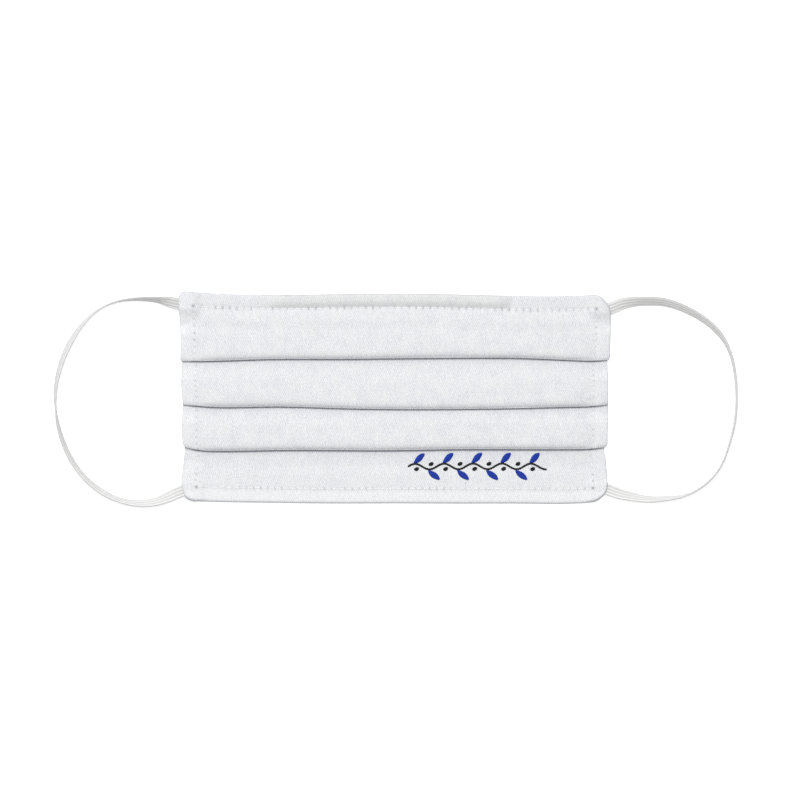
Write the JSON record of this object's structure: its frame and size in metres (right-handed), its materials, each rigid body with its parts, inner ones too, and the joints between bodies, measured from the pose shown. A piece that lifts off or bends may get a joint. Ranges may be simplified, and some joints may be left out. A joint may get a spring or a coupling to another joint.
{
  "type": "pleated cloth face mask",
  "caption": "Pleated cloth face mask lying face up, with turned hems, a nose strip in the top hem and a flat elastic ear loop at each side.",
  "frame": {"origin": "on the surface that the mask lies on, under the middle of the box round the whole mask", "axes": "+X across the mask towards the right-hand ear loop of the picture, +Y up the face towards the nose edge, +Z out of the front of the mask"},
  "size_m": [0.2873, 0.0901, 0.0053],
  "materials": {
    "twill_cloth": "matte white cotton twill with white topstitching",
    "elastic": "matte white flat elastic, ribbed lengthwise",
    "nose_strip": "cream plastic over bendable wire"
  },
  "bodies": {
    "root": {"pleated_panel": "twill_cloth", "ear_loop_left": "elastic", "ear_loop_right": "elastic", "nose_wire": "nose_strip"}
  },
  "joints": []
}
